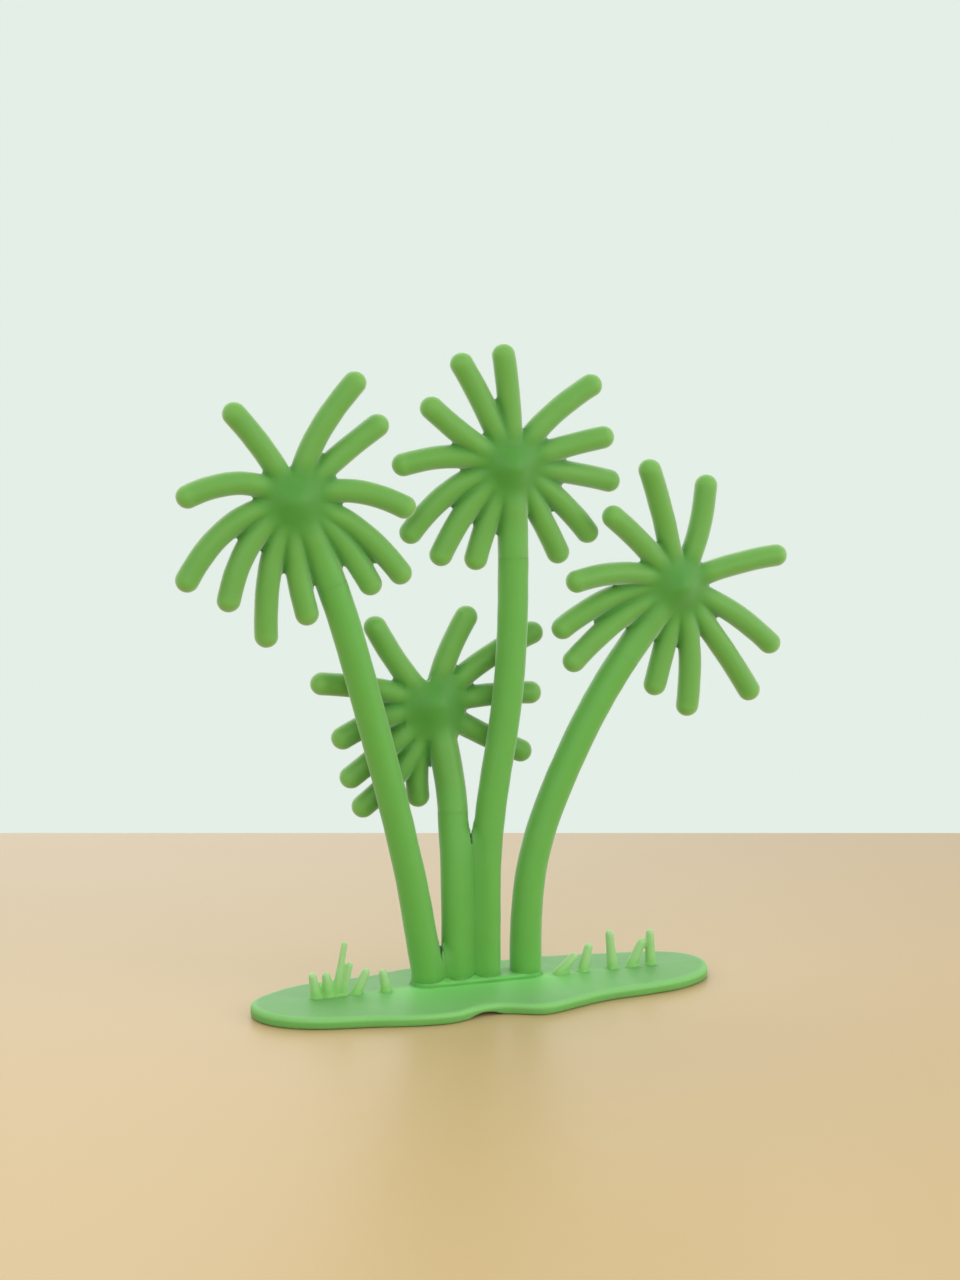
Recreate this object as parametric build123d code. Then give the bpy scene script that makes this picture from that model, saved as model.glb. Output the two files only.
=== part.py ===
"""Toy palm grove: a group of four palm trees standing in a row on one irregular ground plate.

Soft moulded plastic scenery for toy figures.  The row of trees lies along X, the front of the piece
faces -Y and +Z is up.  The origin is on the underside of the plate, below the middle of the row.
Every palm is a curved trunk with a keyed plug at its foot and a keyed spigot at its head, and a crown
of finger-like fronds whose neck slides down over the spigot.  Grass tufts stand in slots in the plate.
All lengths are millimetres and all angles are degrees.
"""

from build123d import *

import os
from collections import namedtuple
from math import cos, radians, sin, tan

# ---------------------------------------------------------------- ground plate
PLATE_LENGTH = 94.2
PLATE_DEPTH = 33.0
PLATE_RIM_HEIGHT = 2.0  # thickness of the plate at its edge
PLATE_RIDGE_HEIGHT = 2.6  # thickness along the ridge: the top is a very low roof
RIDGE_FORWARD = 2.2  # the ridge, with the grass on it, runs this far in front of the trunks' middles
PLATE_SLOPE_RUN = 20.0  # distance over which the top falls from the ridge to the rim height
PLATE_EDGE_ROUND = 0.9  # round along the upper edge

# Outline of the plate, anticlockwise from its left end, with a shallow waist in the front edge.
# The points are shares of the plate's length and depth.
PLATE_OUTLINE = [
    (-0.498, -0.091), (-0.471, -0.285), (-0.403, -0.415), (-0.287, -0.491), (-0.165, -0.570),
    (-0.106, -0.555), (-0.059, -0.503), (-0.006, -0.503), (0.062, -0.588), (0.122, -0.555),
    (0.207, -0.467), (0.324, -0.424), (0.419, -0.358), (0.486, -0.206), (0.502, -0.045),
    (0.484, 0.133), (0.403, 0.264), (0.297, 0.327), (0.202, 0.379), (0.042, 0.391),
    (-0.106, 0.412), (-0.212, 0.327), (-0.350, 0.288), (-0.446, 0.152),
]  # fmt: skip
PLATE_WAIST = (-0.049, -0.503)  # middle of the waist, in the same shares

# A low arch lifts the waist of the front edge off the table.
ARCH_WIDTH = 8.0
ARCH_HEIGHT = 0.8
ARCH_DEPTH = 5.0  # how far the arch runs back under the plate from the waist

# ---------------------------------------------------------------- root bar
ROOT_BAR_HEIGHT = 0.8  # the trunks spring from a low bar that stands on the ridge
ROOT_BAR_MARGIN = 0.25  # the bar is this much wider than the trunks all round
SOCKET_FLOOR = 0.8  # plate left under a trunk's socket

# ---------------------------------------------------------------- trunks and their plugs
TRUNK_RADIUS = 3.0
TALL_TRUNK_HEIGHT = 82.2  # from the root bar to the seam of trunk and crown
LEFT_TRUNK_DROP = 3.6  # the left trunk's seam lies this much lower than the tall trunk's
RIGHT_TRUNK_DROP = 20.8
SMALL_TRUNK_DROP = 49.6
LEFT_TRUNK_LEAN = 18.7  # how far the seam stands to the side of the root
TALL_TRUNK_LEAN = 5.6
RIGHT_TRUNK_LEAN = 20.6
TALL_ROOT_X = 1.15
TRUNK_GAP = 0.05  # space between neighbouring trunks at the bar
RIGHT_TRUNK_GAP = 2.35  # wider space before the right trunk
PLUG_SHOULDER = 0.9  # width of the step round the plug at the foot of a trunk
SPIGOT_SHOULDER = 1.3  # width of the step round the spigot at the head of a trunk
SPIGOT_LENGTH = 6.0
KEY_SHARE = 0.72  # the key flat of a plug lies at this share of its radius
FIT_CLEARANCE = 0.05  # radial and end clearance of every plug in its socket

# ---------------------------------------------------------------- crowns
CROWN_REACH = 25.0  # from the hub to the tip's middle of a full-length frond
NECK_LENGTH = 17.5  # from the seam to the hub on the tall palm
FROND_RADIUS = 2.3
FROND_START = 1.6  # a frond starts this far out from the middle of the hub
FROND_BEND_AT = 0.4  # share of a frond's length at which it bends most
HUB_RADIUS = 4.4
PASSING_GAP = 0.5  # clearance between the small crown and the trunks that it stands behind

# ---------------------------------------------------------------- grass
BLADE_HEIGHT = 10.75  # the tallest blade's tip above the plate
SLIM_BLADE = 0.85  # radius at the foot of the two slimmest blades
STOUT_BLADE = 1.15  # radius at the foot of all other blades
BLADE_TAPER = 0.75  # a blade's tip radius, as a share of its foot radius
GRASS_FOOT_MARGIN = 0.15  # the foot strip of a tuft is this much wider than its blades
GRASS_SLOT_FLOOR = 1.4  # plate left under a grass slot
LEFT_GRASS_GAP = 5.8  # from the left end of the root bar to the nearest blade's middle
LEFT_GRASS_RUN = 14.0  # from there to the middle of the last blade
RIGHT_GRASS_GAP = 2.95  # the same two on the right
RIGHT_GRASS_RUN = 19.7

# ---------------------------------------------------------------- derived sizes and places
ROOT_HEIGHT = PLATE_RIDGE_HEIGHT + ROOT_BAR_HEIGHT
BAR_HALF_WIDTH = TRUNK_RADIUS + ROOT_BAR_MARGIN
PLUG_RADIUS = TRUNK_RADIUS - PLUG_SHOULDER
PLUG_LENGTH = ROOT_HEIGHT - SOCKET_FLOOR
SPIGOT_RADIUS = TRUNK_RADIUS - SPIGOT_SHOULDER
SMALL_CROWN_SETBACK = TRUNK_RADIUS + FROND_RADIUS + PASSING_GAP
GRASS_SLOT_DEPTH = PLATE_RIDGE_HEIGHT - GRASS_SLOT_FLOOR

SMALL_ROOT_X = TALL_ROOT_X - 2 * TRUNK_RADIUS - TRUNK_GAP
LEFT_ROOT_X = SMALL_ROOT_X - 2 * TRUNK_RADIUS - TRUNK_GAP
RIGHT_ROOT_X = TALL_ROOT_X + 2 * TRUNK_RADIUS + RIGHT_TRUNK_GAP
LEFT_GRASS_X = LEFT_ROOT_X - BAR_HALF_WIDTH - LEFT_GRASS_GAP
RIGHT_GRASS_X = RIGHT_ROOT_X + BAR_HALF_WIDTH + RIGHT_GRASS_GAP

# height and lean place the seam of trunk and crown from the root; setback is how far behind the row
# the hub stands.  bends are points between root and seam, in shares of the lean, of the setback and
# of the height; seam_setback is the seam's share of the setback.  neck is the hub's place from the
# seam, sideways and up, in shares of NECK_LENGTH.  The slopes are the spine's angles from the
# vertical at the seam and at the hub, sideways and then backwards.
Palm = namedtuple(
    "Palm", "name root_x height lean setback bends seam_setback seam_slope neck neck_slope fronds"
)

# heading: direction from the hub to the tip, anticlockwise from +X seen from the front.
# reach: straight distance from the hub to the middle of the round tip.
# arch: how far the frond bulges upwards off that straight line, or sags where it is negative.
# forward: how far the tip stands towards the front.  The last three are shares of CROWN_REACH.
Frond = namedtuple("Frond", "heading reach arch forward")

PALMS = [
    Palm(
        "left", LEFT_ROOT_X, TALL_TRUNK_HEIGHT - LEFT_TRUNK_DROP, -LEFT_TRUNK_LEAN, 0.0,
        bends=[(0.043, 0, 0.084), (0.134, 0, 0.211), (0.294, 0, 0.389), (0.749, 0, 0.809)],
        seam_setback=0, seam_slope=(-20.0, 0), neck=(-0.411, 0.920), neck_slope=(-27.0, 0),
        fronds=[
            Frond(-35.2, 0.996, 0.092, 0.055), Frond(-4.8, 0.840, 0.096, 0.092),
            Frond(39.0, 0.852, 0.020, -0.018), Frond(61.0, 0.984, 0.068, 0.018),
            Frond(124.0, 0.784, 0.028, -0.018), Frond(176.0, 0.808, 0.112, 0.018),
            Frond(-145.0, 0.992, 0.132, -0.018), Frond(-125.0, 0.888, 0.100, 0.018),
            Frond(-102.0, 1.036, 0.072, -0.018), Frond(-84.0, 0.860, -0.036, 0.018),
            Frond(-48.0, 0.876, 0.056, 0.028),
        ],
    ),
    Palm(
        "small", SMALL_ROOT_X, TALL_TRUNK_HEIGHT - SMALL_TRUNK_DROP, 0.0, SMALL_CROWN_SETBACK,
        bends=[(0, 0.02, 0.448), (0, 0.12, 0.724)],
        seam_setback=0.36, seam_slope=(0, 8.0), neck=(-0.160, 1.171), neck_slope=(-12.0, 11.0),
        fronds=[
            Frond(-29.0, 0.832, -0.020, 0), Frond(4.0, 0.808, 0.028, 0),
            Frond(33.0, 0.976, 0.052, 0), Frond(68.0, 0.736, 0.032, 0),
            Frond(126.0, 0.788, -0.028, 0), Frond(166.0, 0.920, 0.040, 0),
            Frond(-164.0, 0.760, 0.044, 0), Frond(-142.0, 0.844, -0.016, 0),
            Frond(-127.0, 0.948, -0.084, 0), Frond(-99.0, 0.720, 0.056, -0.028),
        ],
    ),
    Palm(
        "tall", TALL_ROOT_X, TALL_TRUNK_HEIGHT, TALL_TRUNK_LEAN, 0.0,
        bends=[
            (0.009, 0, 0.129), (0.018, 0, 0.251), (0.286, 0, 0.445), (0.750, 0, 0.640),
            (0.982, 0, 0.847),
        ],
        seam_setback=0, seam_slope=(-0.5, 0), neck=(-0.040, 1.0), neck_slope=(-4.0, 0),
        fronds=[
            Frond(-38.5, 0.868, 0.048, -0.101), Frond(-9.6, 0.860, 0.020, -0.083),
            Frond(15.0, 0.784, 0.020, 0.018), Frond(42.0, 0.900, 0.056, -0.018),
            Frond(94.0, 0.848, 0.024, 0.018), Frond(116.0, 0.872, 0.020, -0.018),
            Frond(144.0, 0.784, -0.024, 0.018), Frond(177.6, 0.840, 0.068, -0.046),
            Frond(-147.2, 0.904, 0.100, -0.110), Frond(-129.5, 0.856, 0.060, -0.037),
            Frond(-111.0, 0.752, 0.020, -0.018), Frond(-58.2, 0.808, 0.016, -0.074),
        ],
    ),
    Palm(
        "right", RIGHT_ROOT_X, TALL_TRUNK_HEIGHT - RIGHT_TRUNK_DROP, RIGHT_TRUNK_LEAN, 0.0,
        bends=[(0.005, 0, 0.140), (0.058, 0, 0.327), (0.432, 0, 0.678)],
        seam_setback=0, seam_slope=(36.0, 0), neck=(0.623, 0.777), neck_slope=(42.0, 0),
        fronds=[
            Frond(-31.0, 0.968, 0.056, -0.018), Frond(14.0, 0.880, 0.032, 0.018),
            Frond(72.0, 0.824, -0.052, -0.018), Frond(106.0, 0.968, 0.024, 0.074),
            Frond(135.0, 0.820, 0.024, 0.101), Frond(174.2, 0.880, 0.084, 0.092),
            Frond(-163.0, 0.988, 0.096, -0.028), Frond(-148.0, 1.028, 0.064, 0.028),
            Frond(-102.0, 0.796, -0.012, -0.018), Frond(-84.0, 0.960, 0.064, 0.018),
            Frond(-53.0, 1.088, 0.020, -0.018),
        ],
    ),
]  # fmt: skip

# A blade's foot is its place along the row.  lean, how far its tip stands to the side of its foot,
# and height, how high the tip stands above the plate, are shares of BLADE_HEIGHT.
Blade = namedtuple("Blade", "foot_x lean height foot_radius")
GRASS = {
    "grass_tuft_left": [
        Blade(LEFT_GRASS_X - LEFT_GRASS_RUN, -0.065, 0.480, STOUT_BLADE),
        Blade(LEFT_GRASS_X - 0.829 * LEFT_GRASS_RUN, -0.037, 0.470, STOUT_BLADE),
        Blade(LEFT_GRASS_X - 0.729 * LEFT_GRASS_RUN, 0.177, 1.0, SLIM_BLADE),
        Blade(LEFT_GRASS_X - 0.629 * LEFT_GRASS_RUN, 0.139, 0.609, SLIM_BLADE),
        Blade(LEFT_GRASS_X - 0.443 * LEFT_GRASS_RUN, 0.200, 0.470, STOUT_BLADE),
    ],
    "grass_blade_left": [Blade(LEFT_GRASS_X, -0.056, 0.423, STOUT_BLADE)],
    "grass_pair_right": [
        Blade(RIGHT_GRASS_X, 0.298, 0.377, STOUT_BLADE),
        Blade(RIGHT_GRASS_X + 0.259 * RIGHT_GRASS_RUN, 0.111, 0.526, STOUT_BLADE),
    ],
    "grass_blade_right": [
        Blade(RIGHT_GRASS_X + 0.584 * RIGHT_GRASS_RUN, -0.065, 0.740, STOUT_BLADE)
    ],
    "grass_pair_far_right": [
        Blade(RIGHT_GRASS_X + 0.787 * RIGHT_GRASS_RUN, 0.205, 0.516, STOUT_BLADE),
        Blade(RIGHT_GRASS_X + RIGHT_GRASS_RUN, -0.018, 0.684, STOUT_BLADE),
    ],
}


# ---------------------------------------------------------------- plugs and sockets
def keyed_plug(radius, length):
    """Round peg from the XY plane up to length, with a flat down one side so that it can't turn."""
    key_cut = Pos(radius * KEY_SHARE + radius, 0, length / 2) * Box(2 * radius, 2 * radius, 2 * length)
    return extrude(Circle(radius), amount=length) - key_cut


def keyed_socket(radius, length):
    """The hole for a keyed plug of that radius and length, with clearance all round."""
    return keyed_plug(radius + FIT_CLEARANCE, length + FIT_CLEARANCE)


# ---------------------------------------------------------------- palms
def trunk_point(palm, lean_share, setback_share, height_share):
    x = palm.root_x + palm.lean * lean_share
    return Vector(x, palm.setback * setback_share, ROOT_HEIGHT + palm.height * height_share)


def hub_point(palm):
    seam = trunk_point(palm, 1, palm.seam_setback, 1)
    sideways, up = palm.neck
    return Vector(seam.X + sideways * NECK_LENGTH, palm.setback, seam.Z + up * NECK_LENGTH)


def spine_direction(slope):
    sideways, backwards = slope
    return Vector(tan(radians(sideways)), tan(radians(backwards)), 1).normalized()


def root_plane(palm):
    """Plane at the root, its Z pointing down into the plate, its X to the front for the key."""
    return Plane(origin=(palm.root_x, 0, ROOT_HEIGHT), x_dir=(0, -1, 0), z_dir=(0, 0, -1))


def seam_plane(palm):
    """Plane across the spine where the crown's neck meets the trunk, its Z along the spine."""
    origin = trunk_point(palm, 1, palm.seam_setback, 1)
    return Plane(origin=origin, x_dir=(0, -1, 0), z_dir=spine_direction(palm.seam_slope))


def rod(path, radius):
    """Round rod along a curve."""
    return sweep(Plane(origin=path @ 0, z_dir=path % 0) * Circle(radius), path=path)


def trunk(palm):
    root = root_plane(palm)
    seam = seam_plane(palm)
    points = [root.origin] + [trunk_point(palm, *bend) for bend in palm.bends] + [seam.origin]
    body = rod(Spline(*points, tangents=[(0, 0, 1), seam.z_dir]), TRUNK_RADIUS)
    plug = root * keyed_plug(PLUG_RADIUS, PLUG_LENGTH)
    return body + plug + seam * keyed_plug(SPIGOT_RADIUS, SPIGOT_LENGTH)


def frond(hub, spec):
    """Round finger from inside the hub to its rounded tip, arched like a palm leaf."""
    along = Vector(cos(radians(spec.heading)), 0, sin(radians(spec.heading)))
    skyward = Vector(-along.Z, 0, along.X) * (1 if along.X >= 0 else -1)
    start = hub + along * FROND_START
    tip = hub + along * (spec.reach * CROWN_REACH) + Vector(0, -spec.forward * CROWN_REACH, 0)
    bend = start + (tip - start) * FROND_BEND_AT + skyward * (2 * spec.arch * CROWN_REACH)
    path = Bezier(start, bend, tip)
    end_cap = Plane(origin=tip, z_dir=path % 1) * Sphere(FROND_RADIUS, arc_size1=0, align=None)
    return rod(path, FROND_RADIUS) + end_cap


def crown(palm):
    hub = hub_point(palm)
    seam = seam_plane(palm)
    tangents = [seam.z_dir, spine_direction(palm.neck_slope)]
    neck = rod(Spline(seam.origin, hub, tangents=tangents), TRUNK_RADIUS)
    solid = neck + Pos(*hub) * Sphere(HUB_RADIUS)
    for spec in palm.fronds:
        solid = solid + frond(hub, spec)
    return solid - seam * keyed_socket(SPIGOT_RADIUS, SPIGOT_LENGTH)


# ---------------------------------------------------------------- grass
def blade(spec):
    """Tapered grass blade with a round tip, standing on the ridge of the plate."""
    tip_radius = spec.foot_radius * BLADE_TAPER
    foot = Vector(spec.foot_x, -RIDGE_FORWARD, PLATE_RIDGE_HEIGHT)
    stem = Vector(spec.lean * BLADE_HEIGHT, 0, spec.height * BLADE_HEIGHT - tip_radius)
    length = stem.length
    stub = extrude(Circle(spec.foot_radius), amount=-spec.foot_radius)
    cone = Pos(0, 0, length / 2) * Cone(spec.foot_radius, tip_radius, length)
    solid = Plane(origin=foot, z_dir=stem) * (stub + cone + Pos(0, 0, length) * Sphere(tip_radius))
    below_plate = Pos(foot.X, foot.Y, foot.Z - length) * Box(4 * length, 4 * length, 2 * length)
    return solid - below_plate


def grass_foot(blades, margin):
    """Outline of the foot strip that joins the blades of a tuft, seen from above."""
    half_width = max(b.foot_radius for b in blades) + margin
    left = min(b.foot_x for b in blades)
    right = max(b.foot_x for b in blades)
    if len(blades) == 1:
        return Pos(left, -RIDGE_FORWARD) * Circle(half_width)
    middle = Pos((left + right) / 2, -RIDGE_FORWARD)
    return middle * SlotCenterToCenter(right - left, 2 * half_width)


def grass(blades):
    strip = extrude(grass_foot(blades, GRASS_FOOT_MARGIN), amount=GRASS_SLOT_DEPTH)
    solid = Pos(0, 0, GRASS_SLOT_FLOOR) * strip
    for spec in blades:
        solid = solid + blade(spec)
    return solid


def grass_slot(blades):
    outline = grass_foot(blades, GRASS_FOOT_MARGIN + FIT_CLEARANCE)
    return Pos(0, 0, GRASS_SLOT_FLOOR - FIT_CLEARANCE) * extrude(outline, amount=2 * PLATE_RIDGE_HEIGHT)


# ---------------------------------------------------------------- ground plate
def plate_blank():
    """The plate's outline, thickest along the ridge and falling away in front and behind."""
    run = 2 * PLATE_SLOPE_RUN
    eaves = PLATE_RIDGE_HEIGHT - 2 * (PLATE_RIDGE_HEIGHT - PLATE_RIM_HEIGHT)
    roof = Polyline((-run, 0), (run, 0), (run, eaves), (0, PLATE_RIDGE_HEIGHT), (-run, eaves), close=True)
    prism = Pos(0, -RIDGE_FORWARD) * extrude(Plane.YZ * make_face(roof), amount=3 * run, both=True)
    points = [(PLATE_LENGTH * x, PLATE_DEPTH * y) for x, y in PLATE_OUTLINE]
    outline = make_face(Spline(*points, periodic=True))
    return extrude(outline, amount=2 * PLATE_RIDGE_HEIGHT) & prism


def rounded_plate():
    """The blank with its upper edge rounded, front and back of the ridge."""
    blank = plate_blank()
    upper = [e for e in blank.edges() if e.bounding_box().min.Z > PLATE_RIM_HEIGHT / 2]
    return fillet([e for e in upper if abs(e.center().Y) > TRUNK_RADIUS], PLATE_EDGE_ROUND)


def root_bar():
    """Low bar that joins the feet of the four trunks."""
    outline = SlotCenterToCenter(RIGHT_ROOT_X - LEFT_ROOT_X, 2 * BAR_HALF_WIDTH)
    bar = extrude(outline, amount=ROOT_HEIGHT - SOCKET_FLOOR)
    return Pos((LEFT_ROOT_X + RIGHT_ROOT_X) / 2, 0, SOCKET_FLOOR) * bar


def edge_arch():
    """The space under the waist of the front edge: a flat arc from well in front of it backwards."""
    waist_x, waist_y = PLATE_LENGTH * PLATE_WAIST[0], PLATE_DEPTH * PLATE_WAIST[1]
    radius = (ARCH_WIDTH**2 / 4 + ARCH_HEIGHT**2) / (2 * ARCH_HEIGHT)
    place = Pos(waist_x, waist_y + ARCH_DEPTH - PLATE_DEPTH / 2, ARCH_HEIGHT - radius)
    return place * Rot(90, 0, 0) * Cylinder(radius, PLATE_DEPTH)


def ground_plate():
    plate = rounded_plate() + root_bar() - edge_arch()
    for palm in PALMS:
        plate = plate - root_plane(palm) * keyed_socket(PLUG_RADIUS, PLUG_LENGTH)
    for blades in GRASS.values():
        plate = plate - grass_slot(blades)
    return plate


# ---------------------------------------------------------------- output
def write(name, shape):
    solids = shape.solids()
    export_step(solids[0] if len(solids) == 1 else Compound(solids), f"parts/{name}.step")
    print(name, len(solids), round(sum(s.volume for s in solids)))


def main():
    os.makedirs("parts", exist_ok=True)
    write("ground_plate", ground_plate())
    for palm in PALMS:
        write(f"trunk_{palm.name}", trunk(palm))
        write(f"crown_{palm.name}", crown(palm))
    for name, blades in GRASS.items():
        write(name, grass(blades))


main()
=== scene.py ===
"""Toy palm grove in soft moulded plastic: four palms and blades of grass on one ground plate.

Every piece is grown from the solid that it stands for.  The solids are turned into distance fields and
melted together the way one moulding is, with small fillets where rods meet, webs between the fronds at
each hub and webs between neighbouring trunks.  The moulding is then cut apart again where one solid ends
and the next begins.
"""

from copy import copy
from functools import cache, partial
from math import cos, radians, sin

import bpy
import numpy as np
import openvdb
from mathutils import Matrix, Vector


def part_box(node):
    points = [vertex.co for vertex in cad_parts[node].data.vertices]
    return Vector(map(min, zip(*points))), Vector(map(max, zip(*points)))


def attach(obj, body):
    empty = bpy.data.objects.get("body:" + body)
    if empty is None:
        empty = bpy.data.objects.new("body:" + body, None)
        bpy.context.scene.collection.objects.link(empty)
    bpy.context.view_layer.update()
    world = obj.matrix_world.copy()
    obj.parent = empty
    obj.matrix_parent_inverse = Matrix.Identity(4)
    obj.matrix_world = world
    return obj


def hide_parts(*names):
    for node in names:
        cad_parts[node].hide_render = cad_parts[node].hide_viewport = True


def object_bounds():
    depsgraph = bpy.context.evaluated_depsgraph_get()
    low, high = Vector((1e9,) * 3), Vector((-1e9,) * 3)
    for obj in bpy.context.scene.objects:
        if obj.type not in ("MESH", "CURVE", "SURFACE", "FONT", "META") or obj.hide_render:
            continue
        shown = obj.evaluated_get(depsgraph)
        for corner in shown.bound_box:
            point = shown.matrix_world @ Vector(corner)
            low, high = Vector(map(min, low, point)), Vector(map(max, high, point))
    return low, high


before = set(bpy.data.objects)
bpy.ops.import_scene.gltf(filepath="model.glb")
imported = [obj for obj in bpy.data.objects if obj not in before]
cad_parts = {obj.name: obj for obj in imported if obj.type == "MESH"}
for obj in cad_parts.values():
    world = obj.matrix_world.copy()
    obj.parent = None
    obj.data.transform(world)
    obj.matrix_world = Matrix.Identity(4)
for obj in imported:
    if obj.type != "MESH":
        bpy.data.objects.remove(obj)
CAD_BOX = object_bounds()

bl_info = {
    "name": "Toy palm grove",
    "version": (1, 0, 0),
    "blender": (4, 5, 0),
    "location": "View3D > Sidebar > Palm grove",
    "description": "Builds a moulded toy palm grove and its studio",
    "category": "Add Mesh",
}

MM = 0.001
TINY = 1e-12  # keeps a division from meeting a zero

PALMS = ("left", "small", "tall", "right")
TRUNKS = [f"trunk_{palm}" for palm in PALMS]
OUTER_TRUNKS = ("trunk_left", "trunk_right")
GRASS = sorted(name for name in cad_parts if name.startswith("grass"))
BAR_HEIGHT = 0.8 * MM  # of the root bar above the lawn, which is the plate's top beside it

# Growing the moulding
MARGIN_STEPS = 4  # free grid steps round the solids
PLATE_REACH = 1.4 * MM  # how far from their surface the fields of plate and grass are true
PALM_REACH = 2.0 * MM  # the same for the fields of trunks and crowns above the foot
WEB_REACH = 1.0 * MM  # the same for the webs between the fronds
BOX_BLURS = 3  # on each axis, which together blur about evenly all round
TOP_SLICE = 0.1 * MM  # points this near to the bar's height lie on its top face
GRASS_FOOT = 1.0 * MM  # the grass fillet reaches this far from the blades
JOIN_START, JOIN_END = 3 * MM, 1 * MM  # this far below its top a trunk leaves the common foot
HUB_SEARCH_STEP = 0.7 * MM  # grid step when a hub's middle is looked for
HUB_SEARCH_DEPTH = 6 * MM  # more than the deepest point of a hub
HUB_SLAB = (0.5 * MM, 2.2 * MM)  # the webs set in between these distances before and behind a hub
BLUR_SHARE = 0.8  # the hub blur has faded out at this share of the webs' reach
EDGE_NEAR = 0.8  # points this near to both surfaces, in grid steps, lie on a cut's edge
EDGE_ROUNDS = 6  # of moving them onto it
SHARP_ANGLE = radians(50)

PARTING_TURN = radians(-18)  # the Vs are cut square to a line turned this far from X
PARTINGS = (  # neighbours that run together at the foot, how high, and how far they swell there
    ("trunk_left", "trunk_small", 7.0 * MM, 0.0),
    ("trunk_small", "trunk_tall", 30.0 * MM, 0.30 * MM),
)

# Where the greens change, and where light and shade are painted on the plate
# Painted light: a brighter green on the plate before the bar lifts the shade of the trunks there. Behind
# the bar most of it is left out, so the far side stays darker as painted shade.
NEAR_FADE = 9 * MM  # how far the brighter green spreads from the bar over the plate
BEHIND = (-3 * MM, 1 * MM)  # Y between which the plate's far side sets in
BEHIND_LOSS = 0.8  # share of the brighter green that is missing there
# painted shade along the crease at the foot of the root bar is this wide
CREASE_WIDTH = 0.32 * MM
BAR_SHARE = 0.4  # of the trunks' green on the root bar
BAR_FLANK = 0.25 * MM  # it has set in at this height above the lawn
BAR_MARGIN = 0.5 * MM  # and reaches this far out from the bar's side
# painted shade down the plate's side face sets in and is full at these heights
SIDE_SHADE_TOP, SIDE_SHADE_BOTTOM = 1.7 * MM, 1.1 * MM  # height at which the plate's side begins and is full
HUB_GREEN = (0.3, 2.0)  # the deeper green fades out between these shares of the hub core
NECK_GREEN = (0.8, 2.0)  # the same for the trunks' green on a crown's neck

# The plastic's surface
CLOUDS_PER_METRE = 140.0
PORES_PER_METRE = 620.0
GRAIN_PER_METRE = 2600.0
CLOUD_ROUGHNESS = 0.16
GRAIN_SHARE = 0.35  # of the grain beside the pores
PLASTIC = {
    "Subsurface Weight": 0.6,
    "Subsurface Radius": (0.8, 1.0, 0.5),
    "Subsurface Scale": 1.6 * MM,
    "IOR": 1.5,
    "Specular IOR Level": 0.3,
    "Sheen Roughness": 0.45,
}
RELIEF = {"Distance": 0.02 * MM, "Strength": 0.5}  # of the bump that grain and pores make

# Studio
LOOK_AT = Vector((0, 0, 69.8 * MM))
CAMERA_AZIMUTH = radians(-19.6)
CAMERA_PITCH = radians(9.0)
CAMERA_DISTANCE = 0.5
CAMERA_SENSOR = 24  # millimetres high
CAMERA_LENS = 48.75  # millimetres
TABLE_SIDE = 1.5  # how far the table reaches to the left, to the right and to the front
TABLE_BACK = 0.135  # and to the back
TABLE_FADE = -0.1  # its far colour sets in here
WORLD_LIGHT = 0.93
LAMPS = (  # name, place, width and power
    ("key lamp", (-0.32, -0.76, 0.28), 0.8, 1.8),
    ("fill lamp", (0.6, -0.6, 0.2), 0.8, 2.8),
    ("back lamp", (0.0, 0.8, 0.6), 1.2, 3.4),
)


# ---------------------------------------------------------------- sizes and colours
def srgb(red, green, blue):
    """A linear colour from 0-255 sRGB values."""
    shares = [value / 255 for value in (red, green, blue)]
    return tuple(s / 12.92 if s <= 0.04045 else ((s + 0.055) / 1.055) ** 2.4 for s in shares)


def length_mm(name, description, default):
    return bpy.props.FloatProperty(
        name=name, description=description, default=default * MM, unit="LENGTH", precision=5
    )


def colour(name, description, *default):
    return bpy.props.FloatVectorProperty(
        name=name,
        description=description,
        default=srgb(*default),
        subtype="COLOR",
        size=3,
        min=0,
        max=1,
    )


class GroveSizes(bpy.types.PropertyGroup):
    """Sizes of the moulding's fillets, swellings and surface."""

    voxel: length_mm("Voxel", "Grid step of the distance fields", 0.25)
    quick_voxel: length_mm("Quick voxel", "Grid step for a quick look", 0.42)
    crotch_fillet: length_mm("Crotch fillet", "Radius where two fronds meet", 0.15)
    foot_fillet: length_mm("Foot fillet", "Radius where trunks, bar and plate meet", 0.08)
    grass_fillet: length_mm("Grass fillet", "Radius at the feet of the blades of grass", 0.15)
    under_round: length_mm("Under round", "Radius along the plate's lower edge", 0.6)
    foot_swell: length_mm("Foot swelling", "The outer trunks grow by this at their feet", 0.22)
    swell_top: length_mm("Swelling top", "Height at which that swelling has faded out", 34.0)
    hub_fillet: length_mm("Hub fillet", "Radius of the webs between the fronds at a hub", 5.0)
    hub_core: length_mm("Hub core", "The webs are full out to here from a hub's middle", 4.5)
    hub_reach: length_mm("Hub reach", "The webs have faded out here", 11.0)
    hub_blur: length_mm("Hub blur", "How softly the hub and the webs run into each other", 1.2)
    web_fillet: length_mm("Web fillet", "Radius of the webs between neighbouring trunks", 3.2)
    web_fade: length_mm("Web fade", "How far the webs take to fade out where the trunks part", 8.0)
    foot_top: length_mm("Foot top", "Height of the part grown as one with the plate", 40.0)
    sink: length_mm("Sink", "Deepest hollow of the uneven moulded surface", 0.07)
    hollow_width: length_mm("Hollow width", "Half of a hollow's width, over pi", 1.6)
    light_depth: length_mm("Light depth", "How far light reaches into the plastic", 1.9)


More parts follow.
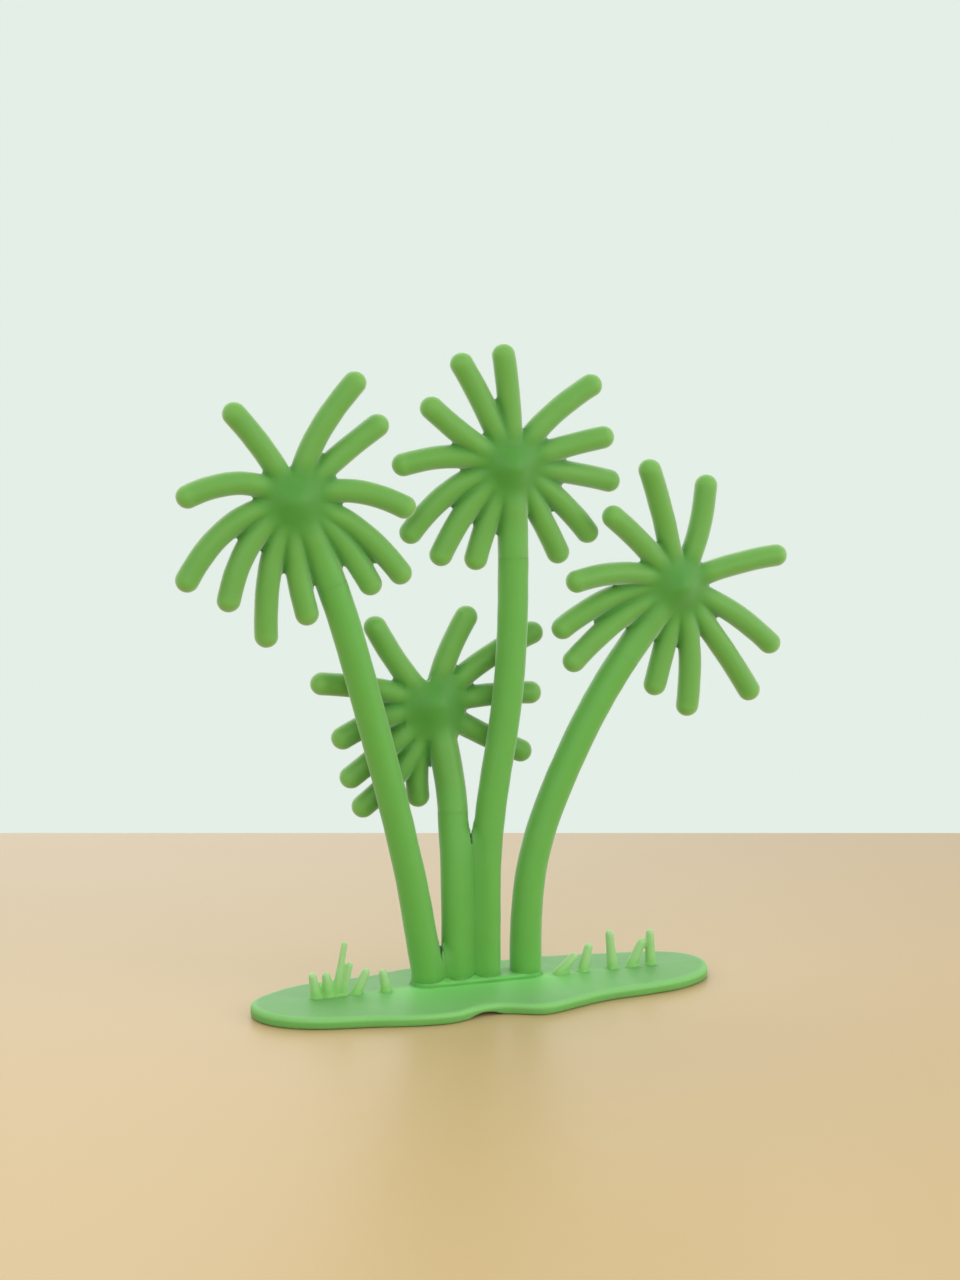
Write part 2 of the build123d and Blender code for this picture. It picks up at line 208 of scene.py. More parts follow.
class GroveColours(bpy.types.PropertyGroup):
    """Colours of the plastic, thin and thick, of the light and shade painted on the plate, and of the
    studio.
    """

    frond_thin: colour("Frond, thin", "Crowns where the plastic is thin", 114, 173, 77)
    frond_thick: colour("Frond, thick", "Crowns where the plastic is thick", 57, 135, 34)
    hub: colour("Hub", "Crowns at the thick hubs", 62, 140, 39)
    trunk_thin: colour("Trunk, thin", "Trunks where the plastic is thin", 110, 177, 80)
    trunk_thick: colour("Trunk, thick", "Trunks where the plastic is thick", 72, 149, 48)
    plate_far: colour("Plate, far", "Ground plate at its ends", 106, 163, 92)
    # painted light: the brighter green on the plate before the trunks, where their shade falls
    plate_near_lit: colour("Plate, near", "Ground plate before the trunks", 122, 208, 104)
    # painted highlight: the paler rounded upper edge where it catches the light, set as the plate's
    # thin-plastic colour
    plate_rim_highlight: colour("Plate, rim", "Rounded upper edge of the ground plate", 126, 188, 108)
    # painted shade: the darker side face of the plate
    plate_side_shade: colour("Plate, side", "Side face of the ground plate", 106, 168, 84)
    # painted shade: a dark line in the crease along the foot of the root bar
    crease: colour("Crease", "Line along the foot of the root bar", 54, 132, 36)
    grass_thin: colour("Grass, thin", "Tips of the blades of grass", 158, 196, 137)
    grass_thick: colour("Grass, thick", "Feet of the blades of grass", 127, 191, 97)
    table: colour("Table", "Floor near the grove", 200, 171, 120)
    table_far: colour("Table, far", "Floor at its far edge", 189, 166, 132)
    wall: colour("Wall", "Background behind the table", 228, 239, 231)


# ---------------------------------------------------------------- distance fields
class Grid:
    """A box of space as a dense grid. Fields over it are arrays of distances in metres."""

    def __init__(self, low, high, step, margin):
        self.step = step
        self.first = np.floor((np.array(low) - margin) / step).astype(int)
        last = np.ceil((np.array(high) + margin) / step).astype(int)
        self.shape = tuple(last - self.first + 1)

    def axes(self):
        """X, Y and Z of the grid's points, each shaped to spread over the others."""
        spans = [(self.first[a] + np.arange(self.shape[a])) * self.step for a in range(3)]
        return [span.reshape([-1 if a == b else 1 for b in range(3)]) for a, span in enumerate(spans)]

    def transform(self):
        return openvdb.createLinearTransform(voxelSize=self.step)

    def from_polygons(self, points, faces, reach):
        """Signed distance to a closed mesh, true within reach of it."""
        kind = "triangles" if faces.shape[1] == 3 else "quads"
        level_set = openvdb.FloatGrid.createLevelSetFromPolygons(
            points, transform=self.transform(), halfWidth=float(reach / self.step + 2), **{kind: faces}
        )
        field = np.empty(self.shape, np.float32)
        level_set.copyToArray(field, ijk=tuple(int(i) for i in self.first))
        return field

    def polygons(self, field, level=0.0):
        """Points and quads of the surface where the field has that level."""
        volume = openvdb.FloatGrid(float(field.max()))
        volume.transform = self.transform()
        volume.copyFromArray(field, ijk=tuple(int(i) for i in self.first))
        return volume.convertToQuads(isovalue=float(level))[:2]

    def node(self, name, reach):
        """Signed distance to a CAD node."""
        return self.from_polygons(*node_mesh(name), reach)

    def closed(self, field, radius, reach):
        """The field with a ball of that radius rolled round it: grooves it can't enter are filled."""
        if field.max() < radius + self.step:
            field = self.from_polygons(*self.polygons(field), radius + self.step)
        points, quads = self.polygons(field, radius)
        return self.from_polygons(points, quads, reach + radius) + radius

    def sample(self, field, points):
        """Field values at points, linear between the grid's points."""
        at = points / self.step - self.first
        at = np.clip(at, 0, np.array(self.shape) - 1.001)  # so that the next point is in the grid too
        cell = at.astype(int)
        share = (at - cell).astype(np.float32)
        value = np.zeros(len(points), np.float32)
        for corner in np.ndindex(2, 2, 2):
            weight = np.prod(np.where(np.array(corner) == 1, share, 1 - share), axis=1)
            i, j, k = (cell + corner).T
            value += weight * field[i, j, k]
        return value

    def slope(self, field, points):
        """Unit direction in which the field grows at points."""
        rise = np.empty_like(points)
        for axis in range(3):
            shift = np.zeros(3)
            shift[axis] = self.step
            rise[:, axis] = self.sample(field, points + shift) - self.sample(field, points - shift)
        return rise / np.maximum(np.linalg.norm(rise, axis=1, keepdims=True), TINY)

    def last(self):
        return self.first + np.array(self.shape)

    def overlap(self, other):
        """The part of this grid that lies in the other one."""
        both = copy(self)
        both.first = np.maximum(self.first, other.first)
        both.shape = tuple(np.minimum(self.last(), other.last()) - both.first)
        return both

    def place_in(self, other):
        """Slices that pick this grid's points from a field of the other one."""
        start = self.first - other.first
        return tuple(slice(a, a + n) for a, n in zip(start, self.shape))


def node_mesh(name):
    """Points and triangles of a CAD node."""
    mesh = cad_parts[name].data
    mesh.calc_loop_triangles()
    points = np.empty(len(mesh.vertices) * 3, np.float32)
    mesh.vertices.foreach_get("co", points)
    triangles = np.empty(len(mesh.loop_triangles) * 3, np.int32)
    mesh.loop_triangles.foreach_get("vertices", triangles)
    return points.reshape(-1, 3), triangles.reshape(-1, 3).astype(np.uint32)


def largest_flat(name):
    """Middle and normal of the largest flat face of a CAD node."""
    points, triangles = node_mesh(name)
    corners = points[triangles].astype(float)
    cross = np.cross(corners[:, 1] - corners[:, 0], corners[:, 2] - corners[:, 0])
    size = np.linalg.norm(cross, axis=1)
    keep = size > TINY
    corners, cross, size = corners[keep], cross[keep], size[keep]
    normal = cross / size[:, None]
    offset = (normal * corners[:, 0]).sum(1)
    # Triangles lie in one plane if their normals agree to 1/200 and their offsets to 0.05 mm.
    key = np.round(np.column_stack([normal * 200, offset * 20000])).astype(int)
    _, which = np.unique(key, axis=0, return_inverse=True)
    area = np.bincount(which.ravel(), size)
    best = which.ravel() == area.argmax()
    middle = (corners[best].mean(1) * size[best, None]).sum(0) / size[best].sum()
    return middle, normal[best].mean(0)


def smooth_step(value, start, end):
    """0 up to the start, 1 from the end on, and a soft rise between them."""
    share = np.clip((value - start) / (end - start), 0, 1)
    return share * share * (3 - 2 * share)


def blurred(field, cells):
    """The field after box blurs of that half width on each axis."""
    width = 2 * cells + 1
    for axis in range(3):
        for _ in range(BOX_BLURS):
            pad = [(cells + 1, cells) if a == axis else (0, 0) for a in range(3)]
            total = np.cumsum(np.pad(field, pad, mode="edge"), axis=axis, dtype=np.float32)
            size = field.shape[axis]
            upper = np.take(total, np.arange(width, width + size), axis=axis)
            lower = np.take(total, np.arange(size), axis=axis)
            field = (upper - lower) / width
    return field


# ---------------------------------------------------------------- growing the moulding
class Moulding:
    """The distance fields of the whole grove, made once and shared by the operators."""

    def __init__(self, sizes):
        self.sizes = sizes
        self.step = sizes.voxel
        self.margin = MARGIN_STEPS * self.step
        self.seams = {palm: largest_flat(f"crown_{palm}") for palm in PALMS}
        self.hubs = {palm: self.hub_middle(palm) for palm in PALMS}
        self.bar_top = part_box("ground_plate")[1].z
        self.lawn = self.bar_top - BAR_HEIGHT
        points = node_mesh("ground_plate")[0]
        bar = points[points[:, 2] > self.bar_top - TOP_SLICE]
        self.bar_low, self.bar_high = bar.min(0), bar.max(0)
        self.grow_foot()

    def hub_middle(self, palm):
        """Middle of the crown's hub, which is the deepest point of the crown's solid."""
        low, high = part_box(f"crown_{palm}")
        grid = Grid(low, high, HUB_SEARCH_STEP, HUB_SEARCH_STEP)
        depth = -grid.node(f"crown_{palm}", HUB_SEARCH_DEPTH)
        weight = np.clip(depth - depth.max() + HUB_SEARCH_STEP, 0, None)
        return Vector([float((weight * spot).sum() / weight.sum()) for spot in grid.axes()])

    def grow_foot(self):
        """Plate, grass and the lower trunks as one moulding, and each one's own share of it."""
        sizes = self.sizes
        low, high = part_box("ground_plate")
        high = Vector((high.x, high.y, sizes.foot_top))
        self.foot = grid = Grid(low, high, self.step, self.margin)
        z = grid.axes()[2]
        plate = grid.node("ground_plate", PLATE_REACH)
        shares = {}

        # What stands on the plate ends flat there, and the plugs and strips below belong to the plate.
        for name in TRUNKS:
            solid = grid.node(name, sizes.web_fillet)
            plate = np.minimum(plate, np.maximum(solid, z - self.bar_top))
            if name in OUTER_TRUNKS:
                solid -= sizes.foot_swell * (1 - smooth_step(z, self.bar_top, sizes.swell_top))
            shares[name] = np.maximum(solid, self.bar_top - z)
        for name in GRASS:
            solid = grid.node(name, PLATE_REACH)
            plate = np.minimum(plate, np.maximum(solid, z - self.lawn))
            shares[name] = np.maximum(solid, self.lawn - z)
        self.round_under(grid, plate)
        shares["ground_plate"] = plate

        wood = np.minimum.reduce([plate] + [shares[name] for name in TRUNKS])
        wood = np.minimum(wood, grid.closed(wood, sizes.foot_fillet, PLATE_REACH))
        for one, other, height, swelling in PARTINGS:
            web = self.web(grid, shares[one], shares[other], height, swelling)
            wood = np.minimum(wood, web)
        grass = np.minimum.reduce([shares[name] for name in GRASS])
        whole = np.minimum(wood, grass)
        filled = grid.closed(whole, sizes.grass_fillet, PLATE_REACH)
        whole = np.where(grass < GRASS_FOOT, np.minimum(whole, filled), whole)

        self.foot_shares = shares
        self.foot_field = self.sunk(grid, whole)
        self.foot_thickness = self.thickness(grid, self.foot_field)

    def round_under(self, grid, plate):
        """Rounds the plate's lower edge, in place."""
        radius = self.sizes.under_round
        z = grid.axes()[2]
        above = int(np.argmin(abs(z.ravel() - 1.2 * radius)))  # a level clear of the rounding
        wall = np.clip(plate[:, :, above, None] + radius, 0, None)
        edge = np.sqrt(wall**2 + np.clip(radius - z, 0, None) ** 2) - radius
        np.maximum(plate, np.where(z < radius, edge, plate), out=plate)

    def web(self, grid, one, other, height, swelling):
        """Two trunks run together behind and before, up to the V where they part."""
        fade = 1 - smooth_step(grid.axes()[2], height, height + self.sizes.web_fade)
        radius = self.sizes.web_fillet * fade
        inner = np.hypot(np.clip(radius - one, 0, None), np.clip(radius - other, 0, None))
        melted = np.maximum(radius, np.minimum(one, other)) - inner
        outline = np.minimum(self.outline(grid, one), self.outline(grid, other))
        return np.maximum(melted, outline - swelling * fade)

    def outline(self, grid, rod):
        """Distance to a rod's outline as it is seen square to the line of the Vs."""
        x, y, _ = grid.axes()
        across = x * cos(PARTING_TURN) + y * sin(PARTING_TURN)
        weight = np.clip(rod.min((0, 1)) + grid.step - rod, 0, None)
        middle = (weight * across).sum((0, 1)) / weight.sum((0, 1))
        return abs(across - middle) + rod.min()

    def sunk(self, grid, field):
        """The field with shallow hollows, a few millimetres across, all over its surface."""
        x, y, z = (axis / self.sizes.hollow_width for axis in grid.axes())
        # Each wave is bent by the others, so that the hollows don't stand in rows.
        waves = np.sin(x + 1.3 * np.sin(0.7 * z)) * np.cos(0.8 * z + np.sin(0.9 * y + 0.4 * x))
        return field + (self.sizes.sink * (0.5 + 0.5 * waves)).astype(np.float32)

    def thickness(self, grid, field):
        """How much plastic lies within the light's reach: 0 in the open, 1 deep inside."""
        solid = np.clip(0.5 - field / grid.step, 0, 1)
        cells = max(1, round(self.sizes.light_depth / grid.step / 2))
        return blurred(solid, cells)

    def border(self, name):
        """Negative where a piece's own solid is the nearest one at the foot."""
        others = [field for other, field in self.foot_shares.items() if other != name]
        return (self.foot_shares[name] - np.minimum.reduce(others)) / 2

    def off_bar(self, points):
        """How far points lie outside the round-ended root bar, seen from above."""
        radius = self.bar_high[1]
        straight = (self.bar_high[0] - self.bar_low[0]) / 2 - radius
        along = abs(points[:, 0] - (self.bar_low[0] + self.bar_high[0]) / 2)
        return np.hypot(np.clip(along - straight, 0, None), points[:, 1]) - radius

    def foot_marks(self, points):
        """For points of the plate: how near they lie before the bar, where light is painted, to its foot
        line, where shade is painted, and on it.
        """
        off = self.off_bar(points)
        behind = smooth_step(points[:, 1], *BEHIND)
        above_lawn = points[:, 2] - self.lawn
        # distance to the crease at the bar's foot, along which shade is painted
        crease = np.hypot(off, above_lawn)
        return {
            "near": np.exp(-np.clip(off, 0, None) / NEAR_FADE) * (1 - BEHIND_LOSS * behind),
            "crease": np.exp(-((crease / CREASE_WIDTH) ** 2)),
            "bar": BAR_SHARE * smooth_step(above_lawn, 0.0, BAR_FLANK) * (off < BAR_MARGIN),
        }

    def grow_palm(self, palm):
        """One palm's grid and thickness, and the field and the cut of its trunk and its crown."""
        sizes = self.sizes
        trunk, crown = f"trunk_{palm}", f"crown_{palm}"
        boxes = [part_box(trunk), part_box(crown)]
        low = [min(box[0][a] for box in boxes) for a in range(3)]
        high = [max(box[1][a] for box in boxes) for a in range(3)]
        low[2] = self.bar_top
        grid = Grid(low, high, self.step, self.margin)
        trunk_field, crown_field = grid.node(trunk, PALM_REACH), grid.node(crown, PALM_REACH)

        # The crown's neck is filled, and the trunk ends flat where the neck begins.
        x, y, z = grid.axes()
        (sx, sy, sz), (nx, ny, nz) = self.seams[palm]
        above = -((x - sx) * nx + (y - sy) * ny + (z - sz) * nz)
        spigot = np.maximum(trunk_field, -above)
        crown_field = np.minimum(crown_field, spigot)
        trunk_field = np.maximum(trunk_field, above)
        parting = (trunk_field - crown_field) / 2

        whole = np.minimum(trunk_field, crown_field)
        field = np.minimum(whole, grid.closed(whole, sizes.crotch_fillet, PALM_REACH))
        self.melt_hub(grid, field, self.hubs[palm])
        field = self.sunk(grid, field)

        # At the foot the trunk takes its share of what has melted together there.
        rooted, cut = field.copy(), np.maximum(parting, self.bar_top - z)
        common = grid.overlap(self.foot)
        here, there = common.place_in(grid), common.place_in(self.foot)
        top = sizes.foot_top
        blend = smooth_step(common.axes()[2], top - JOIN_START, top - JOIN_END)
        foot = np.minimum(field[here], self.foot_field[there])
        rooted[here] = foot + (field[here] - foot) * blend
        cut[here] = np.maximum(parting[here], self.border(trunk)[there])
        return grid, self.thickness(grid, rooted), {trunk: (rooted, cut), crown: (field, -parting)}

    def melt_hub(self, grid, field, hub):
        """Fills the grooves between the fronds with webs that fade out from the hub, in place."""
        sizes = self.sizes
        reach = Vector((1, 1, 1)) * sizes.hub_reach
        near = Grid(hub - reach, hub + reach, self.step, 0).overlap(grid)
        box = near.place_in(grid)
        part = field[box].copy()
        webs = near.closed(part, sizes.hub_fillet, WEB_REACH)
        x, y, z = near.axes()
        away = np.sqrt((x - hub.x) ** 2 + (y - hub.y) ** 2 + (z - hub.z) ** 2)
        off_middle = smooth_step(abs(y - hub.y), *HUB_SLAB)
        share = 1 - smooth_step(away, sizes.hub_core, sizes.hub_reach)
        melted = part + share * off_middle * (np.minimum(webs, part) - part)
        soft = blurred(melted, max(1, round(sizes.hub_blur / self.step)))
        share = 1 - smooth_step(away, sizes.hub_core, BLUR_SHARE * sizes.hub_reach)
        field[box] = melted + share * off_middle * (soft - melted)

    def hub_marks(self, palm, points):
        """For points of a palm: how near they are to the middle of its hub and to its neck."""
        core = self.sizes.hub_core
        marks = {}
        for mark, middle, fade in (
            ("hub", self.hubs[palm], HUB_GREEN),
            ("neck", self.seams[palm][0], NECK_GREEN),
        ):
            away = np.linalg.norm(points - np.array(middle), axis=1)
            marks[mark] = 1 - smooth_step(away, fade[0] * core, fade[1] * core)
        return marks


def moulded_piece(node, grid, field, cut, thickness, material, marks=None):
    """The piece that stands for a CAD node: a field's surface, cut where the second one is positive."""
    points, quads = grid.polygons(np.maximum(field, cut))
    points = points.astype(float)

    # Points along the cut's edge are moved onto both surfaces, so that the edge is sharp.
    on_edge = (abs(grid.sample(field, points)) < EDGE_NEAR * grid.step) & (
        abs(grid.sample(cut, points)) < EDGE_NEAR * grid.step
    )
    edge = points[on_edge]
    for _ in range(EDGE_ROUNDS):
        for surface in (field, cut):
            edge -= grid.sample(surface, edge)[:, None] * grid.slope(surface, edge)
    points[on_edge] = edge
    points = np.clip(points, *[np.array(corner) for corner in CAD_BOX])

    name = f"{node}_moulded"
    mesh = bpy.data.meshes.new(name)
    mesh.from_pydata(points, [], quads[:, ::-1].tolist())
    mesh.update()
    values = {"thickness": grid.sample(thickness, points)}
    if marks:
        values.update(marks(points))
    for mark, value in values.items():
        attribute = mesh.attributes.new(mark, "FLOAT", "POINT")
        attribute.data.foreach_set("value", value.astype(np.float32))
    mesh.shade_smooth()
    mesh.set_sharp_from_angle(angle=SHARP_ANGLE)
    mesh.materials.append(material)
    piece = bpy.data.objects.new(name, mesh)
    bpy.context.scene.collection.objects.link(piece)
    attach(piece, "root")
    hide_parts(node)


# ---------------------------------------------------------------- shader nodes
def wire(tree, kind, inputs=None, **settings):
    """A node with its settings, and with its inputs set or linked."""
    node = tree.nodes.new(kind)
    for name, setting in settings.items():
        setattr(node, name, setting)
    for name, source in (inputs or {}).items():
        if isinstance(source, bpy.types.NodeSocket):
            tree.links.new(source, node.inputs[name])
        else:
            node.inputs[name].default_value = source
    return node


def worked_out(tree, operation, *values):
    """The result of arithmetic on numbers and sockets."""
    return wire(tree, "ShaderNodeMath", dict(enumerate(values)), operation=operation).outputs[0]


def ramp(tree, value, start, end, kind="SMOOTHSTEP"):
    """A share that goes from 0 to 1 as the value goes from start to end."""
    inputs = {"Value": value, "From Min": start, "From Max": end}
    return wire(tree, "ShaderNodeMapRange", inputs, interpolation_type=kind).outputs["Result"]


def mixed(tree, share, one, other):
    """A colour between two others, which are colours or sockets."""
    one, other = (c if isinstance(c, bpy.types.NodeSocket) else (*c, 1) for c in (one, other))
    return wire(tree, "ShaderNodeMix", {0: share, 6: one, 7: other}, data_type="RGBA").outputs[2]


def noise(tree, place, scale, detail):
    inputs = {"Vector": place, "Scale": scale, "Detail": detail}
    return wire(tree, "ShaderNodeTexNoise", inputs).outputs["Fac"]


def marked(tree, mark):
    """The value of a mark that the mesh carries at its points."""
    return wire(tree, "ShaderNodeAttribute", attribute_name=mark).outputs["Fac"]


def object_place(tree):
    return wire(tree, "ShaderNodeTexCoord").outputs["Object"]


# ---------------------------------------------------------------- materials
def moulded_plastic_group():
    """Colour, roughness and height of soft moulded plastic, which is paler where it is thin."""
    name = "Soft moulded plastic"
    if name in bpy.data.node_groups:
        return bpy.data.node_groups[name]
    group = bpy.data.node_groups.new(name, "ShaderNodeTree")
    for label, kind, default in (
        ("Thin", "NodeSocketColor", (0.2, 0.5, 0.1, 1)),
        ("Thick", "NodeSocketColor", (0.1, 0.3, 0.05, 1)),
        ("Thin At", "NodeSocketFloat", 0.2),
        ("Thick At", "NodeSocketFloat", 0.6),
        ("Cloudiness", "NodeSocketFloat", 0.05),
        ("Shine", "NodeSocketFloat", 0.42),
    ):
        socket = group.interface.new_socket(name=label, in_out="INPUT", socket_type=kind)
        socket.default_value = default
    for label, kind in (
        ("Color", "NodeSocketColor"),
        ("Roughness", "NodeSocketFloat"),
        ("Height", "NodeSocketFloat"),
    ):
        group.interface.new_socket(name=label, in_out="OUTPUT", socket_type=kind)
    given = group.nodes.new("NodeGroupInput").outputs
    out = group.nodes.new("NodeGroupOutput").inputs

    place = object_place(group)
    clouds = noise(group, place, CLOUDS_PER_METRE, 3.0)
    grain = noise(group, place, GRAIN_PER_METRE, 2.0)
    pores = noise(group, place, PORES_PER_METRE, 2.0)
    share = ramp(group, marked(group, "thickness"), given["Thin At"], given["Thick At"])
    green = mixed(group, share, given["Thin"], given["Thick"])
    swing = worked_out(group, "SUBTRACT", clouds, 0.5)
    swing = worked_out(group, "MULTIPLY_ADD", swing, given["Cloudiness"], 1.0)
    shaded = wire(group, "ShaderNodeVectorMath", {0: green, "Scale": swing}, operation="SCALE")
    rough = worked_out(group, "MULTIPLY_ADD", clouds, CLOUD_ROUGHNESS, given["Shine"])
    relief = worked_out(group, "MULTIPLY_ADD", grain, GRAIN_SHARE, pores)
    group.links.new(shaded.outputs[0], out["Color"])
    group.links.new(rough, out["Roughness"])
    group.links.new(relief, out["Height"])
    return group


def plastic(name, thin, thick, sheen, thin_at=0.2, thick_at=0.75, shine=0.36):
    """Soft translucent plastic with the shared surface, in its own two greens."""
    material = bpy.data.materials.new(name)
    material.use_nodes = True
    tree = material.node_tree
    surface = tree.nodes.new("ShaderNodeGroup")
    surface.name = "surface"
    surface.node_tree = moulded_plastic_group()
    surface.inputs["Thin"].default_value = (*thin, 1)
    surface.inputs["Thick"].default_value = (*thick, 1)
    surface.inputs["Thin At"].default_value = thin_at
    surface.inputs["Thick At"].default_value = thick_at
    surface.inputs["Shine"].default_value = shine
    bump = wire(tree, "ShaderNodeBump", {"Height": surface.outputs["Height"], **RELIEF})
    shader = tree.nodes["Principled BSDF"]
    shader.inputs["Sheen Weight"].default_value = sheen
    for setting, value in PLASTIC.items():
        shader.inputs[setting].default_value = value
    tree.links.new(surface.outputs["Color"], shader.inputs["Base Color"])
    tree.links.new(surface.outputs["Roughness"], shader.inputs["Roughness"])
    tree.links.new(bump.outputs["Normal"], shader.inputs["Normal"])
    return material


# ---------------------------------------------------------------- operators
@cache
def moulding():
    """The grove's fields, grown when the first piece asks for them."""
    return Moulding(bpy.context.scene.grove_sizes)


def foot_piece(node, material, marks=None):
    """A piece that is grown as one with the plate."""
    made = moulding()
    border = made.border(node)
    moulded_piece(
        node, made.foot, made.foot_field, border, made.foot_thickness, material, marks
    )


class GROVE_OT_ground_plate(bpy.types.Operator):
    """Grows the ground plate with its root bar"""

    bl_idname = "grove.ground_plate"
    bl_label = "Ground plate"

    def execute(self, context):
        tint = context.scene.grove_colours
        # shade() replaces these two greens with ones that carry painted light and shade
        material = plastic(
            "plate plastic",
            tint.plate_rim_highlight,
            tint.plate_near_lit,
            sheen=0.05,
            thin_at=0.27,
            thick_at=0.44,
            shine=0.45,
        )
        self.shade(material, tint)
        foot_piece("ground_plate", material, moulding().foot_marks)
        return {"FINISHED"}

    def shade(self, material, tint):
        """Painted light and shade on the plate: a brighter green before the trunks as painted light,
        left out behind the bar, painted shade down the side and in the crease, a painted highlight on
        the rounded rim, and trunk green on the bar.
        """
        tree = material.node_tree
        height = wire(tree, "ShaderNodeSeparateXYZ", {0: object_place(tree)}).outputs["Z"]
        # painted shade down the side, by height
        side = ramp(tree, height, SIDE_SHADE_TOP, SIDE_SHADE_BOTTOM)
        near, crease, bar = (marked(tree, mark) for mark in ("near", "crease", "bar"))
        # painted light: the brighter green before the bar, with the darker far side behind it as painted
        # shade
        top = mixed(tree, near, tint.plate_far, tint.plate_near_lit)
        for socket, plate, trunk in (
            # the thin colour carries the painted highlight on the rounded rim
            ("Thin", tint.plate_rim_highlight, tint.trunk_thin),
            ("Thick", top, tint.trunk_thick),
        ):
            green = mixed(tree, side, plate, tint.plate_side_shade)
            green = mixed(tree, bar, green, trunk)
            # painted shade in the crease at the foot of the bar
            green = mixed(tree, crease, green, tint.crease)
            tree.links.new(green, tree.nodes["surface"].inputs[socket])


class GROVE_OT_grass(bpy.types.Operator):
    """Grows the tufts and single blades of grass"""

    bl_idname = "grove.grass"
    bl_label = "Grass"

    def execute(self, context):
        tint = context.scene.grove_colours
        material = plastic(
            "grass plastic",
            tint.grass_thin,
            tint.grass_thick,
            sheen=0.2,
            thin_at=0.1,
            thick_at=0.5,
            shine=0.4,
        )
        for node in GRASS:
            foot_piece(node, material)
        return {"FINISHED"}


class GROVE_OT_palms(bpy.types.Operator):
    """Grows the four trunks and their crowns"""

    bl_idname = "grove.palms"
    bl_label = "Palms"

    def execute(self, context):
        tint = context.scene.grove_colours
        greens = {
            "crown": plastic("crown plastic", tint.frond_thin, tint.frond_thick, sheen=0.8),
            "trunk": plastic("trunk plastic", tint.trunk_thin, tint.trunk_thick, sheen=0.4),
        }
        self.deepen(greens["crown"], tint)
        made = moulding()
        for palm in PALMS:
            grid, thickness, pieces = made.grow_palm(palm)
            marks = partial(made.hub_marks, palm)
            for node, (field, cut) in pieces.items():
                kind = node.split("_")[0]
                material, slot = greens[kind], f"{kind}_green"
                moulded_piece(node, grid, field, cut, thickness, material, marks)
        return {"FINISHED"}

    def deepen(self, material, tint):
        """The thick hubs are a deeper green than the fronds, and the necks are like the trunks."""
        tree = material.node_tree
        hub, neck = (marked(tree, mark) for mark in ("hub", "neck"))
        for socket, frond, trunk in (
            ("Thin", tint.frond_thin, tint.trunk_thin),
            ("Thick", tint.frond_thick, tint.trunk_thick),
        ):
            green = mixed(tree, hub, frond, tint.hub)
            green = mixed(tree, neck, green, trunk)
            tree.links.new(green, tree.nodes["surface"].inputs[socket])


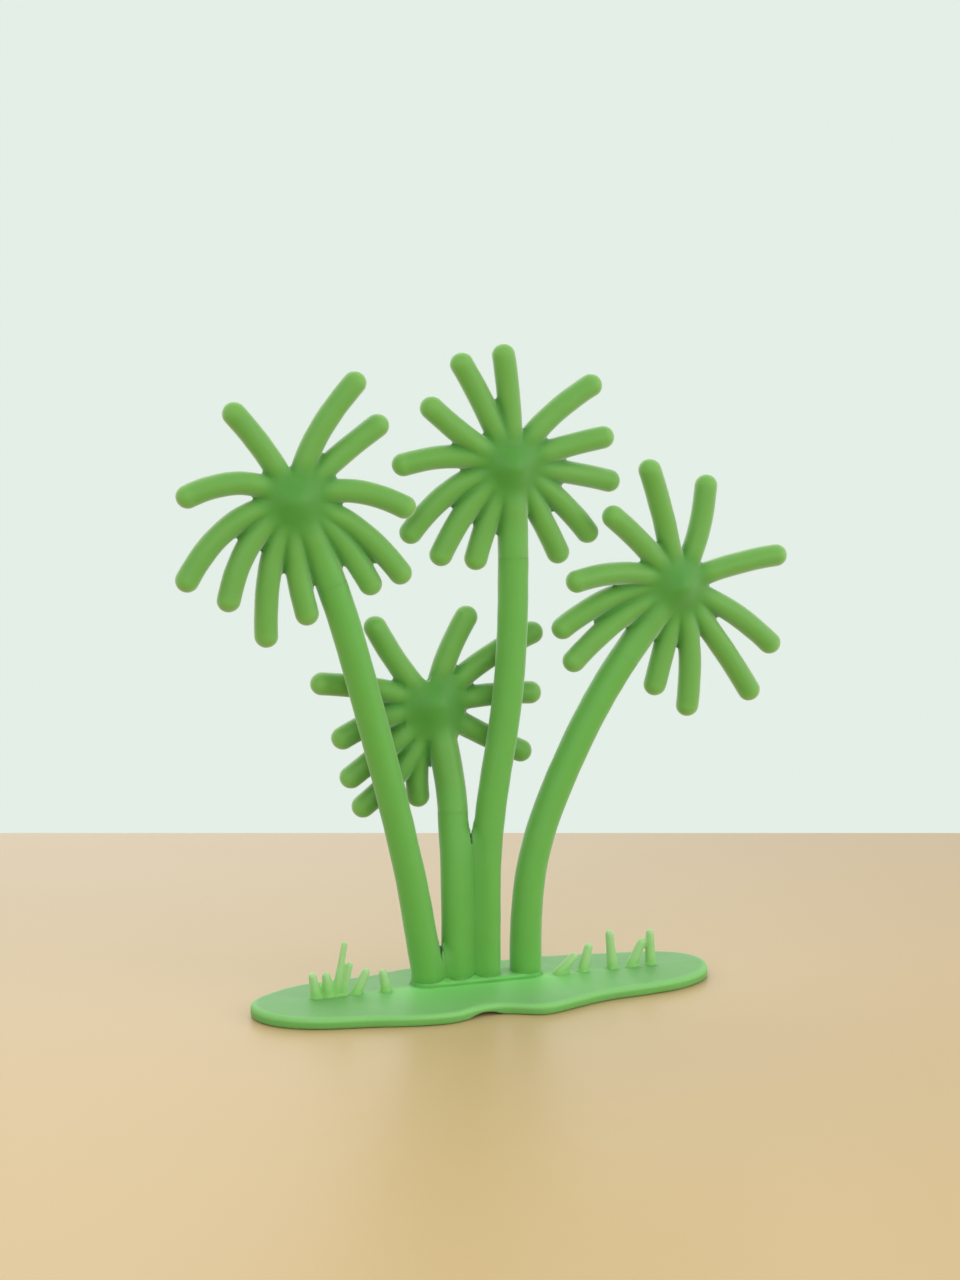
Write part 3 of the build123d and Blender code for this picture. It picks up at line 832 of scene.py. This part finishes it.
class GROVE_OT_stage(bpy.types.Operator):
    """Sets up the pale table, the background, the soft lamps and the camera"""

    bl_idname = "grove.stage"
    bl_label = "Stage"

    def execute(self, context):
        tint = context.scene.grove_colours
        self.table(tint)
        self.background(tint)
        for lamp in LAMPS:
            self.area_lamp(*lamp)
        self.camera()
        context.scene.view_settings.view_transform = "Standard"
        return {"FINISHED"}

    def table(self, tint):
        """A wide floor that ends at a straight edge behind the grove, square to the view."""
        front, back = [
            [(side, depth, 0) for side in (-TABLE_SIDE, TABLE_SIDE)]
            for depth in (-TABLE_SIDE, TABLE_BACK)
        ]
        mesh = bpy.data.meshes.new("table")
        mesh.from_pydata(front + back[::-1], [], [(0, 1, 2, 3)])
        table = bpy.data.objects.new("table", mesh)
        table.rotation_euler = (0, 0, CAMERA_AZIMUTH)
        material = bpy.data.materials.new("table")
        material.use_nodes = True
        tree = material.node_tree
        depth = wire(tree, "ShaderNodeSeparateXYZ", {0: object_place(tree)}).outputs["Y"]
        share = ramp(tree, depth, TABLE_FADE, TABLE_BACK, "LINEAR")
        cream = mixed(tree, share, tint.table, tint.table_far)
        shader = tree.nodes["Principled BSDF"]
        tree.links.new(cream, shader.inputs["Base Color"])
        shader.inputs["Roughness"].default_value = 0.4
        shader.inputs["Specular IOR Level"].default_value = 0.35
        mesh.materials.append(material)
        bpy.context.scene.collection.objects.link(table)

    def background(self, tint):
        """A pale wall wherever the camera or a reflection looks past the table."""
        world = bpy.data.worlds.new("studio")
        bpy.context.scene.world = world
        world.use_nodes = True
        tree = world.node_tree
        tree.nodes.clear()
        path = wire(tree, "ShaderNodeLightPath").outputs
        seen = worked_out(tree, "MAXIMUM", path["Is Camera Ray"], path["Is Glossy Ray"])
        seen = worked_out(tree, "MAXIMUM", seen, path["Is Transmission Ray"])
        light, wall = (
            wire(tree, "ShaderNodeBackground", {"Color": (*shade, 1), "Strength": strength}).outputs[0]
            for shade, strength in (((1, 1, 1), WORLD_LIGHT), (tint.wall, 1.0))
        )
        mix = wire(tree, "ShaderNodeMixShader", {0: seen, 1: light, 2: wall})
        wire(tree, "ShaderNodeOutputWorld", {"Surface": mix.outputs[0]})

    def area_lamp(self, name, place, width, power):
        """A round soft lamp that shines at the middle of the grove."""
        data = bpy.data.lights.new(name, "AREA")
        data.shape = "DISK"
        data.size = width
        data.energy = power
        lamp = bpy.data.objects.new(name, data)
        lamp.location = place
        lamp.rotation_euler = (LOOK_AT - Vector(place)).to_track_quat("-Z", "Y").to_euler()
        bpy.context.scene.collection.objects.link(lamp)

    def camera(self):
        """A long lens that looks slightly down at the grove from the front left."""
        toward = Vector((
            sin(CAMERA_AZIMUTH) * cos(CAMERA_PITCH),
            -cos(CAMERA_AZIMUTH) * cos(CAMERA_PITCH),
            sin(CAMERA_PITCH),
        ))
        data = bpy.data.cameras.new("camera")
        data.sensor_fit = "VERTICAL"
        data.sensor_height = CAMERA_SENSOR
        data.lens = CAMERA_LENS
        data.clip_start = 0.01
        camera = bpy.data.objects.new("camera", data)
        camera.location = LOOK_AT + toward * CAMERA_DISTANCE
        camera.rotation_euler = (-toward).to_track_quat("-Z", "Y").to_euler()
        bpy.context.scene.collection.objects.link(camera)
        bpy.context.scene.camera = camera


class GROVE_PT_panel(bpy.types.Panel):
    """Sizes, colours and steps of the palm grove"""

    bl_idname = "GROVE_PT_panel"
    bl_label = "Palm grove"
    bl_space_type = "VIEW_3D"
    bl_region_type = "UI"
    bl_category = "Palm grove"

    def draw(self, context):
        for settings in (context.scene.grove_sizes, context.scene.grove_colours):
            for name in settings.__annotations__:
                self.layout.prop(settings, name)
        for step in STEPS:
            self.layout.operator(step.bl_idname)


STEPS = (GROVE_OT_ground_plate, GROVE_OT_grass, GROVE_OT_palms, GROVE_OT_stage)
CLASSES = (GroveSizes, GroveColours, *STEPS, GROVE_PT_panel)


def register():
    for kind in CLASSES:
        bpy.utils.register_class(kind)
    bpy.types.Scene.grove_sizes = bpy.props.PointerProperty(type=GroveSizes)
    bpy.types.Scene.grove_colours = bpy.props.PointerProperty(type=GroveColours)


def unregister():
    del bpy.types.Scene.grove_colours
    del bpy.types.Scene.grove_sizes
    for kind in reversed(CLASSES):
        bpy.utils.unregister_class(kind)


def main():
    register()
    bpy.ops.grove.ground_plate()
    bpy.ops.grove.grass()
    bpy.ops.grove.palms()
    bpy.ops.grove.stage()


if __name__ == "__main__":
    main()
